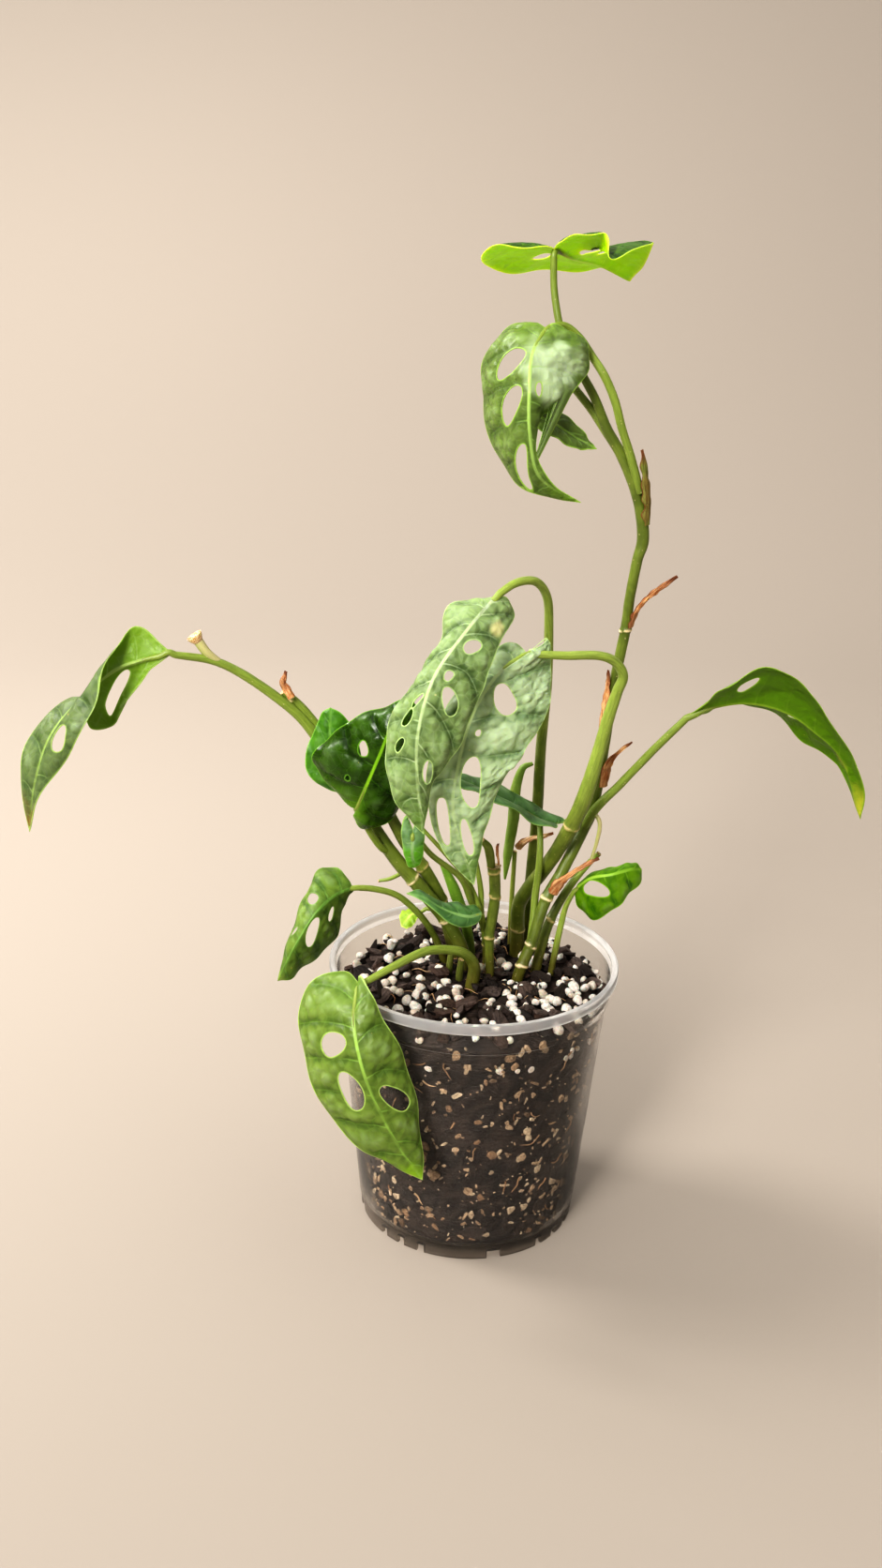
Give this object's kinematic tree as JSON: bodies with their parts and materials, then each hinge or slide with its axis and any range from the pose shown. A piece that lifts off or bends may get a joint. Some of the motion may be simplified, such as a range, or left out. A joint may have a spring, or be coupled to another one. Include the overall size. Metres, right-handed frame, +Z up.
{
  "type": "potted swiss cheese plant",
  "caption": "Swiss cheese plant with pierced leaves on arching stalks, rooted in bark and perlite mix in a clear tapered nursery pot with a notched foot.",
  "frame": {"origin": "centre of the pot's foot, on the plane that the pot stands on", "axes": "+Z up; the front is towards -Y, and +X is to the right seen from the front"},
  "size_m": [0.3853, 0.1533, 0.4683],
  "materials": {
    "clear_plastic": "gloss",
    "potting_mix": "matte",
    "green_stem": "satin",
    "old_stem": "matte",
    "green_leaf": "satin",
    "dark_leaf": "gloss",
    "young_leaf": "satin",
    "dry_sheath": "matte"
  },
  "bodies": {
    "root": {"leaf_behind_left": "green_leaf", "leaf_centre_left": "green_leaf", "leaf_centre_right": "green_leaf", "leaf_dark_left": "dark_leaf", "leaf_far_left": "green_leaf", "leaf_far_right": "green_leaf", "leaf_front_left": "green_leaf", "leaf_front_small": "green_leaf", "leaf_hanging_small": "green_leaf", "leaf_low_right": "green_leaf", "leaf_lower_left": "green_leaf", "leaf_mid_small": "green_leaf", "leaf_rolled": "young_leaf", "leaf_top": "young_leaf", "leaf_upper": "green_leaf", "leaf_yellow_small": "young_leaf", "pot": "clear_plastic", "potting_mix": "potting_mix", "sheath_axil": "dry_sheath", "sheath_behind": "dry_sheath", "sheath_big": "dry_sheath", "sheath_pale": "dry_sheath", "sheath_ring": "dry_sheath", "sheath_short": "dry_sheath", "sheath_stub": "dry_sheath", "sheath_upper": "dry_sheath", "stem_centre": "green_stem", "stem_front": "green_stem", "stem_front_left": "green_stem", "stem_leafless": "green_stem", "stem_left": "green_stem", "stem_left_back": "green_stem", "stem_lower_left": "green_stem", "stem_paired": "green_stem", "stem_pale": "old_stem", "stem_right_cut": "green_stem", "stem_right_leaf": "green_stem", "stem_short": "green_stem", "stem_tall": "green_stem", "stub_brown": "dry_sheath", "stub_olive": "old_stem"}
  },
  "joints": []
}
